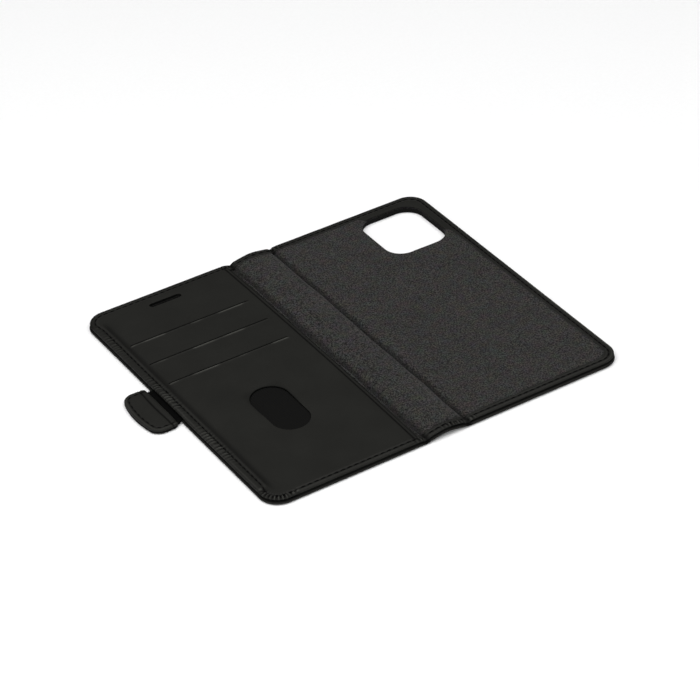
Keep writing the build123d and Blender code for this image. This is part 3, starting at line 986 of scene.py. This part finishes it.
class WALLET_OT_border(bpy.types.Operator):
    """Smooth leather border round the suede, gathered where it turns over the folds"""
    bl_idname = "wallet.border"
    bl_label = "Leather Border"

    blank_width = 10

    def execute(self, context):
        wallet = Wallet()
        half = Half(SPINE_MIDDLE, BACK_EDGE, wallet.size.corner, SETBACK)
        rim = half.rim(*half.lines(0.75, [(BACK_FOLD, 8, 0.3), (SPINE_MIDDLE, 8, 0.3)]), 26)
        self.lay("back_border", rim, wallet, BACK_FOLD, "back_leather_border", "back_suede")
        xs = np.linspace(SPINE_MIDDLE, PANEL_EDGE - 1.0, 60)
        for name, side in (("spine_top_border", 1), ("spine_bottom_border", -1)):
            rim = Rim([(x, side * (TOP_EDGE - SETBACK)) for x in xs], [(0, side)] * len(xs))
            self.lay(name, rim, wallet, COVER_FOLD, "spine_end_borders", "spine_suede")
        return {"FINISHED"}

    def lay(self, name, rim, wallet, fold, node, rests_on):
        """One strip along the whole edge, as wide as the border reaches at each place."""
        piece = strip(name, rim, self.reach(wallet, rim), wallet.border_top, wallet.border_under,
                      finish_of("black_leather"), wallet.wear_and_painted_light)
        turn_at(piece)
        run = np.linalg.norm(np.diff(rim.points, axis=0), axis=1).sum()
        lay_sheet([node], (self.blank_width, run))

    def reach(self, wallet, rim):
        """How far the border runs in from each point of the edge."""
        tries = np.arange(2.0, 8.9, 0.05)
        found = []
        for point, outward in zip(rim.points, rim.outward):
            plan = point - outward * tries[:, None]
            stop = wallet.beside(wallet.window, *plan.T) < SKIN
            stop |= tries > wallet.border_reach(*plan.T) - 0.25
            found.append(tries[np.argmax(stop)] if stop.any() else tries[-1])
        return found


class WALLET_OT_card_panel(bpy.types.Operator):
    """Card panel with its slits, thumb window and speaker slot"""
    bl_idname = "wallet.card_panel"
    bl_label = "Card Panel"

    def execute(self, context):
        wallet = Wallet()
        half = Half(PANEL_EDGE, COVER_EDGE, wallet.size.corner, SETBACK)

        def bowed(points):
            """The panel's loose edge bows out a little towards the spine."""
            near = smooth((points[:, 0] - PANEL_EDGE + 12) / 12)
            points[:, 0] += near * (wallet.panel_edge(points[:, 1]) - PANEL_EDGE)
            return points

        slit_rows = [(slit.centre[1], 3.0, 0.4) for slit in wallet.slits]
        piece = closed_sheet("card_panel_leather", half, wallet.panel_top, wallet.panel_under,
                             finish_of("black_leather"), step=0.95, lip=0.7,
                             near=tuple(np.arange(0.8, 8.4, 0.3)),
                             holes=[*wallet.slits, wallet.thumb, wallet.speaker],
                             hole_lip=0.12, hole_rings=(0.17, 0.45), fine_x=[(PANEL_EDGE, 2, 0.2)],
                             fine_y=slit_rows, warp=bowed, pressed=wallet.wear_and_painted_light)
        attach(piece, "front_cover")
        lay_sheet(["card_panel"], half.blank())
        return {"FINISHED"}


class WALLET_OT_pockets(bpy.types.Operator):
    """Cash pocket's wall and the liners of the three card slits"""
    bl_idname = "wallet.pockets"
    bl_label = "Pocket Layers"

    def execute(self, context):
        wallet = Wallet()

        def faces(height, thick, seed):
            """The upper and lower faces of a layer."""
            return [lambda x, y, level=level: level + 0.02 * waves(x, y, 12.0, seed)
                    for level in (height + thick, height)]

        half = Half(CASH_EDGE + 0.7, COVER_EDGE, wallet.size.corner, HEM + 0.05)
        high, low = faces(CASH_LOW + SKIN, CASH_HIGH - CASH_LOW - 3 * SKIN, 2.0)
        piece = closed_sheet("cash_wall", half, high, low, finish_of("black_leather"), step=2.4,
                             lip=0.1, holes=[wallet.speaker], hole_lip=0.1, hole_rings=(0.4,),
                             fine_x=[(CASH_EDGE, 3, 0.4)])
        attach(piece, "front_cover")
        lay_sheet(["cash_pocket_wall"], half.blank())
        layer = (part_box("card_liner_2")[0].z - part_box("card_liner_1")[0].z) / MM
        for number in (1, 2, 3):
            node = f"card_liner_{number}"
            start, end = (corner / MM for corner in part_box(node))
            pocket = Half(end.x, start.x, 2.0, 0.0, top=(end.y - start.y) / 2,
                          middle=(end.y + start.y) / 2)
            flat, low = faces(start.z + SKIN, layer - 0.05, 5.0 + number)
            glued = end.y - wallet.slits[0].half[1] - 3.2

            def high(x, y, flat=flat, glued=glued, top=end.z - 0.03):
                """Flat below the slit, and glued up to the panel above it."""
                part = smooth((y - glued) / 0.8)
                return flat(x, y) * (1 - part) + top * part
            piece = closed_sheet(f"pocket_liner_{number}", pocket, high, low,
                                 finish_of("liner_cloth"), step=2.4, lip=0.06)
            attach(piece, "front_cover")
            lay_sheet([node], (end.x - start.x, end.y - start.y))
        return {"FINISHED"}


def bowed_head(points):
    """The far end of the head is a shallow bow, and its neck is tucked in a little."""
    points[:, 0] -= head_bow(points[:, 0], points[:, 1])
    tucked = 1 - 0.08 * np.clip(1 - (HEAD_NECK - points[:, 0]) / 3, 0, 1) ** 2
    points[:, 1] = HEAD_MIDDLE + (points[:, 1] - HEAD_MIDDLE) * tucked
    return points


def flat_at(level):
    """A level face."""
    return lambda x, y: np.full(np.shape(x), level)


class WALLET_OT_clasp(bpy.types.Operator):
    """Strap that comes out of the cover's edge and its padded magnetic head"""
    bl_idname = "wallet.clasp"
    bl_label = "Strap and Clasp"

    def execute(self, context):
        wallet = Wallet()
        leather = finish_of("black_leather")
        head = Half(HEAD_NECK, HEAD_END, HEAD_CORNER, top=HEAD_HALF, middle=HEAD_MIDDLE)
        inset = wallet.seam.clasp_inset

        def upper(x, y):
            """The head's upper face: crowned, with a sunk seam and a welt along the neck."""
            depth = head.depth(x, y)
            neck = HEAD_NECK - x
            crown = 0.25 * smooth((depth - inset) / 4)
            level = HEAD_HIGH.z - 0.22 + crown - 0.28 * bump(depth - inset, 0.4)
            welt = 0.12 * bump(neck - 1.6, 0.6) - 0.3 * bump(neck - WELT, 0.35)
            welt = welt - 0.7 * bump(neck, 0.3)
            return level + welt + 0.03 * waves(x, y, 4.0, 3.0)

        def lower(x, y):
            """The head's lower face, flat but for the seam."""
            return HEAD_LOW.z + 0.16 * bump(head.depth(x, y) - inset, 0.4)

        def head_painted_light(x, y, z):
            """Painted shade at the welt, the seam and the parting of the skins; painted highlight at
            the rim.
            """
            x = x + head_bow(x, y)
            depth = head.depth(x, y)
            dark = np.maximum(0.95 * bump(HEAD_NECK - x - WELT, 0.32), 0.4 * bump(depth - inset, 0.4))
            dark = np.maximum(dark, bump(z - HEAD_SEAM, 0.25) * (depth < 0.7))
            return dark - 0.9 * bump(depth - 0.8, 0.35) * (z > HEAD_HIGH.z - 0.7) * (1 - dark)

        near = tuple(np.arange(0.8, 3.8, 0.28))
        flat = (HEAD_NECK - HEAD_LOW.x, 2 * HEAD_HALF)
        for name, high, low, node, lip in (
                ("clasp_top_skin", upper, flat_at(HEAD_SEAM + SKIN), "clasp_upper_leather", 0.55),
                ("clasp_bottom_skin", flat_at(HEAD_SEAM), lower, "clasp_lower_leather", 0.5)):
            piece = closed_sheet(name, head, high, low, leather, step=0.5, lip=lip, near=near,
                                 warp=bowed_head, fine_x=[(HEAD_NECK - WELT, 1.5, 0.2)],
                                 pressed=head_painted_light)
            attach(piece, "clasp")
            lay_sheet([node], flat)
        self.pad(head)
        self.web()
        return {"FINISHED"}

    def pad(self, head):
        """Foam inside the head, crowned in the middle."""
        low, high = (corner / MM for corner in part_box("clasp_pad"))
        inner = Half(high.x, head.edge, HEAD_CORNER, 3.0, top=head.top, middle=head.middle)
        inner.corner = 2.0

        def crown(x, y):
            """The foam's upper face."""
            return high.z + 0.2 * smooth(inner.depth(x, y) / 4) - 0.1

        piece = closed_sheet("clasp_foam", inner, crown, flat_at(low.z + 0.04), finish_of("foam"),
                             step=0.8, lip=0.3, near=(0.7, 1.2), warp=bowed_head)
        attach(piece, "clasp")
        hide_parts("clasp_pad")

    def web(self):
        """The strap from inside the cover to the head's seam, slack where it bends."""
        start, end = STRAP_HIGH.x, HEAD_HIGH.x - 1.2
        flare = 0.9          # the strap widens to the head
        xs = np.concatenate([np.linspace(start, COVER_EDGE + 1.5, 12),
                             np.linspace(COVER_EDGE + 1.2, end, 18)])
        thick = STRAP_HIGH.z - STRAP_LOW.z - 0.06
        patches = Patches()
        turns = np.linspace(pi / 2, -pi / 2, 7)
        loops = []
        for x in xs:
            out = smooth((COVER_EDGE + 0.6 - x) / 2.6)
            half_width = STRAP_HALF + flare * smooth((COVER_EDGE + 0.3 - x) / 1.8)
            across = np.linspace(-half_width, half_width, 34)
            centre = STRAP_LOW.z + 0.03 + thick / 2 - 0.62 * out
            slack = out * 0.14 * np.sin(across / 1.1)
            ends = 0.3 * np.cos(turns)
            y = np.concatenate([across, half_width + ends, across[::-1], -half_width - ends])
            z = np.concatenate([centre + thick / 2 + slack, centre + thick / 2 * np.sin(turns),
                                centre - thick / 2 + slack[::-1], centre - thick / 2 * np.sin(turns)])
            loops.append(np.stack([np.full(len(y), x), y + STRAP_MIDDLE, z], -1))
        loops = np.array(loops)
        patches.rows(np.concatenate([loops, loops[:, :1]], 1))
        patches.face(loops[0])
        patches.face(loops[-1][::-1])
        # The whole web gets the full painted shade, for the recess under the cover's edge.
        piece = patches.make("strap_web", finish_of("black_leather"),
                             pressed=lambda x, y, z: np.ones(len(x)))
        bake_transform(piece)
        lay_sheet(["strap_root", "strap_tongue"],
                  (start - end, 2 * STRAP_HALF + flare))


def stitch_tree():
    """Geometry nodes that lay single stitches along every line of a mesh."""
    tree = bpy.data.node_groups.new("SeamStitches", "GeometryNodeTree")
    sockets = {}
    for name, kind in (("Path", "NodeSocketGeometry"), ("Stitch Length", "NodeSocketFloat"),
                       ("Pitch", "NodeSocketFloat"), ("Thread Width", "NodeSocketFloat"),
                       ("Unevenness", "NodeSocketFloat"), ("Seed", "NodeSocketInt"),
                       ("Thread", "NodeSocketMaterial")):
        sockets[name] = tree.interface.new_socket(name, in_out="INPUT", socket_type=kind)
    tree.interface.new_socket("Stitches", in_out="OUTPUT", socket_type="NodeSocketGeometry")
    given = add_node(tree, "NodeGroupInput").outputs
    path = add_node(tree, "GeometryNodeMeshToCurve", {"Mesh": given["Path"]})
    spaced = add_node(tree, "GeometryNodeResampleCurve", {"Curve": path.outputs[0],
                                                          "Length": given["Pitch"]}, mode="LENGTH")
    # one stitch: a short arched run of thread whose ends go down into the leather
    start, end, radius, rise, sink, swing = (
        add_node(tree, "ShaderNodeMath", {0: given[name], 1: share}, operation="MULTIPLY").outputs[0]
        for name, share in (("Stitch Length", -0.5), ("Stitch Length", 0.5), ("Thread Width", 0.5),
                            ("Thread Width", 0.9), ("Thread Width", -0.9), ("Unevenness", -1.0)))
    first, top, last = (
        add_node(tree, "ShaderNodeCombineXYZ", corner).outputs[0]
        for corner in ({"X": start, "Z": sink}, {"Z": rise}, {"X": end, "Z": sink}))
    arch = add_node(tree, "GeometryNodeCurveQuadraticBezier",
                    {"Resolution": 6, "Start": first, "Middle": top, "End": last})
    section = add_node(tree, "GeometryNodeCurvePrimitiveCircle", {"Resolution": 6, "Radius": radius})
    run = add_node(tree, "GeometryNodeCurveToMesh",
                   {"Curve": arch.outputs[0], "Profile Curve": section.outputs[0],
                    "Fill Caps": True})
    tangent = add_node(tree, "GeometryNodeInputTangent")
    facing = add_node(tree, "FunctionNodeAlignRotationToVector", {"Vector": tangent.outputs[0]},
                      axis="X", pivot_axis="Z")
    chance = add_node(tree, "FunctionNodeRandomValue", {2: swing, 3: given["Unevenness"],
                                                        "Seed": given["Seed"]}, data_type="FLOAT")
    yaw = add_node(tree, "ShaderNodeCombineXYZ", {"Z": chance.outputs[1]})
    turned = add_node(tree, "FunctionNodeRotateRotation",
                      {"Rotation": facing.outputs[0], "Rotate By": yaw.outputs[0]},
                      rotation_space="LOCAL")
    laid = add_node(tree, "GeometryNodeInstanceOnPoints",
                    {"Points": spaced.outputs[0], "Instance": run.outputs[0],
                     "Rotation": turned.outputs[0]})
    real = add_node(tree, "GeometryNodeRealizeInstances", {"Geometry": laid.outputs[0]})
    soft = add_node(tree, "GeometryNodeSetShadeSmooth", {"Geometry": real.outputs[0]})
    dyed = add_node(tree, "GeometryNodeSetMaterial", {"Geometry": soft.outputs[0],
                                                      "Material": given["Thread"]})
    add_node(tree, "NodeGroupOutput", {0: dyed.outputs[0]})
    return tree, {name: socket.identifier for name, socket in sockets.items()}


class WALLET_OT_stitching(bpy.types.Operator):
    """Rows of black stitches, one piece for each part that they sew"""
    bl_idname = "wallet.stitching"
    bl_label = "Stitching"

    def execute(self, context):
        wallet = Wallet()
        tree, keys = stitch_tree()
        inset = wallet.seam.inset

        def over(level):
            """Just above a face."""
            return lambda x, y: level(x, y) + STITCH_RISE

        def below(x, y):
            """Just under the outer face."""
            return wallet.under(x, y) - SKIN

        def rows(half, start, level):
            """The seam line on a half, from its start to the same place on the other side."""
            inner = Half(start, half.edge, half.corner, inset, half.top, half.middle)
            plan = inner.rim(*inner.lines(0.9), 12).points
            return lift(plan, level)

        def shifted(line, way, level):
            """Moves the cover's side seam in to where the panel's welt lies, or back out."""
            x, y = line[:, :2].T
            x = x + way * (wallet.seam.side_inset - inset) * wallet.along_side(x, y)
            return np.stack([x, y, level(x, y)], -1)

        def sew(name, above, under, body, node, seed):
            self.sew(name, above, under, body, node, tree, keys, seed)

        faces = (over(wallet.border_top), below)
        lines = [[rows(wallet.back, BACK_SEAM_START, level)] for level in faces]
        sew("back_stitches", *lines, "back_panel", "back_thread", 3)
        seam = shifted(rows(wallet.cover, PANEL_EDGE - 1.5, below), 1, over(wallet.panel_top))
        sew("cover_stitches", [seam], [shifted(seam, -1, below)], "front_cover", "cover_thread", 5)
        xs = np.linspace(COVER_FOLD + FOLD_REACH, BACK_FOLD - 2.6, 24)
        ends = [np.stack([xs, np.full(len(xs), side * (TOP_EDGE - inset))], -1) for side in (-1, 1)]
        lines = [[lift(end, level) for end in ends] for level in faces]
        sew("spine_stitches", *lines, "spine", "spine_threads", 7)
        sew("clasp_stitches", [self.clasp_seam(wallet)], [], "clasp", "clasp_thread", 9)
        return {"FINISHED"}

    def clasp_seam(self, wallet):
        """The seam along the two sides and the bowed end of the clasp's head."""
        inner = Half(HEAD_NECK - 1.8, HEAD_END, HEAD_CORNER, wallet.seam.clasp_inset, HEAD_HALF,
                     HEAD_MIDDLE)
        plan = inner.rim(*inner.lines(0.8), 10).points
        plan[:, 0] -= head_bow(plan[:, 0], plan[:, 1])
        return lift(plan, flat_at(HEAD_HIGH.z - 0.3))

    def sew(self, name, above, below, body, node, tree, keys, seed):
        """Lays stitches along lines on the inner and outer faces, as one plain mesh."""
        work = bmesh.new()
        for lines, side in ((above, 1), (below, -1)):
            if lines:
                work.from_mesh(self.stitches(name, lines, side, tree, keys, seed))
        mesh = bpy.data.meshes.new(name)
        work.to_mesh(mesh)
        work.free()
        mesh.materials.append(finish_of("black_thread"))
        piece = linked(name, mesh)
        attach(piece, body)
        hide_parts(node)

    def stitches(self, name, lines, side, tree, keys, seed):
        """Stitches whose arched runs stand up, or down where the side is -1."""
        seam = bpy.context.scene.wallet_thread
        turned = Matrix.Scale(side, 4, (0, 0, 1))
        path = bpy.data.meshes.new(name + "_path")
        points, edges = [], []
        for line in lines:
            edges += [(len(points) + n, len(points) + n + 1) for n in range(len(line) - 1)]
            points += [turned @ Vector(point) * MM for point in line]
        path.from_pydata(points, edges, [])
        guide = linked(name + "_path", path)
        nodes = guide.modifiers.new("Stitches", "NODES")
        nodes.node_group = tree
        for key, value in (("Stitch Length", seam.stitch), ("Pitch", seam.pitch),
                           ("Thread Width", seam.width), ("Unevenness", radians(5)), ("Seed", seed),
                           ("Thread", finish_of("black_thread"))):
            nodes[keys[key]] = value
        graph = bpy.context.evaluated_depsgraph_get()
        mesh = bpy.data.meshes.new_from_object(guide.evaluated_get(graph))
        bpy.data.objects.remove(guide)
        bpy.data.meshes.remove(path)
        if not mesh.polygons:
            raise RuntimeError(f"{name}: no stitches were made")
        mesh.transform(turned)
        if side < 0:
            mesh.flip_normals()
        return mesh


class WALLET_OT_inner_parts(bpy.types.Operator):
    """Finishes for the boards, magnets and steel plate inside the leather"""
    bl_idname = "wallet.inner_parts"
    bl_label = "Inner Parts"

    nodes = {"back_board": "cover_board", "spine_board": "cover_board", "cover_board": "cover_board",
             "phone_magnets": "magnet_steel", "closure_catch_plate": "magnet_steel",
             "clasp_magnet": "magnet_steel"}

    def execute(self, context):
        for node, slot_name in self.nodes.items():
            part = frame["nodes"][node]
            part.data.materials.clear()
            part.data.materials.append(finish_of(slot_name))
        return {"FINISHED"}


class WalletStudio(bpy.types.PropertyGroup):
    """The camera's place and lens"""
    turn: FloatProperty(name="Turn", description="Camera's turn round the wallet", subtype="ANGLE",
                        default=radians(-30.468))
    rise: FloatProperty(name="Rise", description="Camera's height angle", subtype="ANGLE",
                        default=radians(35.347))
    roll: FloatProperty(name="Roll", description="Camera's roll", subtype="ANGLE",
                        default=radians(-3.184))
    away: length("Distance", "Camera to the wallet", 1234.3)
    lens: FloatProperty(name="Lens", description="Focal length in millimetres", default=150.14)
    aim: FloatVectorProperty(name="Aim", description="Point that the camera looks at",
                             subtype="TRANSLATION", unit="LENGTH",
                             default=(-49.585 * MM, -4.877 * MM, 0))


class WALLET_OT_stage(bpy.types.Operator):
    """White floor, soft lights and the camera"""
    bl_idname = "wallet.stage"
    bl_label = "Stage"

    def execute(self, context):
        self.floor()
        self.camera()
        self.lights()
        return {"FINISHED"}

    def floor(self):
        """A wide flat floor just under the stitches of the outer face."""
        reach, drop = 3000, 0.3
        patches = Patches()
        patches.face([(-reach, -reach, -drop), (reach, -reach, -drop), (reach, reach, -drop),
                      (-reach, reach, -drop)])
        floor = patches.make("studio_floor", surface("MattWhitePaper", floor_finish))
        if floor.data.polygons[0].normal.z < 0:
            floor.data.flip_normals()

    def camera(self):
        """A long lens that looks down at the wallet from the front left."""
        studio = bpy.context.scene.wallet_studio
        back = Vector((sin(studio.turn) * cos(studio.rise), -cos(studio.turn) * cos(studio.rise),
                       sin(studio.rise)))
        across = Vector((0, 0, 1)).cross(back).normalized()
        up = back.cross(across)
        right = cos(studio.roll) * across + sin(studio.roll) * up
        up = cos(studio.roll) * up - sin(studio.roll) * across
        lens = bpy.data.cameras.new("studio_camera")
        lens.lens = studio.lens
        lens.sensor_width = 36
        lens.clip_end = 20
        camera = linked("studio_camera", lens)
        place = Matrix.Translation(Vector(studio.aim) + back * studio.away)
        camera.matrix_world = place @ Matrix((right, up, back)).transposed().to_4x4()
        bpy.context.scene.camera = camera

    def lights(self):
        """One wide soft light overhead and two small ones for the edges."""
        scene = bpy.context.scene
        scene.view_settings.view_transform = "Standard"
        world = bpy.data.worlds.new("studio_air")
        world.use_nodes = True
        fill(world.node_tree.nodes["Background"], {"Color": (1, 1, 1, 1), "Strength": 0.1})
        scene.world = world
        for name, place, size, power in (("top_light", (-0.3, -0.4, 1.25), 2.3, 36),
                                         ("front_light", (-0.8, -1.3, 1.0), 0.5, 2.2),
                                         ("left_light", (-1.3, 0.4, 1.1), 0.7, 2.5)):
            data = bpy.data.lights.new(name, "AREA")
            data.size = size
            data.energy = power
            lamp = linked(name, data)
            lamp.location = place
            towards = Vector((-0.05, 0, 0)) - lamp.location
            lamp.rotation_euler = towards.to_track_quat("-Z", "Y").to_euler()


class WALLET_PT_panel(bpy.types.Panel):
    """Lists the steps that build the wallet"""
    bl_idname = "WALLET_PT_panel"
    bl_label = "Phone Wallet"
    bl_space_type = "VIEW_3D"
    bl_region_type = "UI"
    bl_category = "Wallet"

    def draw(self, context):
        for group in (context.scene.wallet_shape, context.scene.wallet_thread,
                      context.scene.wallet_colours, context.scene.wallet_studio):
            box = self.layout.box()
            for name in group.__annotations__:
                box.prop(group, name)
        for step in STEPS:
            self.layout.operator(step.bl_idname)


GROUPS = {"wallet_shape": WalletShape, "wallet_thread": WalletThread,
          "wallet_colours": WalletColours, "wallet_studio": WalletStudio}
STEPS = (WALLET_OT_outer_leather, WALLET_OT_suede_lining, WALLET_OT_border, WALLET_OT_card_panel,
         WALLET_OT_pockets, WALLET_OT_clasp, WALLET_OT_stitching, WALLET_OT_inner_parts,
         WALLET_OT_stage)


def register():
    for group in GROUPS.values():
        bpy.utils.register_class(group)
    for name, group in GROUPS.items():
        setattr(bpy.types.Scene, name, PointerProperty(type=group))
    for step in STEPS:
        bpy.utils.register_class(step)
    bpy.utils.register_class(WALLET_PT_panel)


def unregister():
    bpy.utils.unregister_class(WALLET_PT_panel)
    for step in reversed(STEPS):
        bpy.utils.unregister_class(step)
    for name in GROUPS:
        delattr(bpy.types.Scene, name)
    for group in GROUPS.values():
        bpy.utils.unregister_class(group)


def main():
    register()
    for step in STEPS:
        group, name = step.bl_idname.split(".")
        getattr(getattr(bpy.ops, group), name)()


if __name__ == "__main__":
    main()
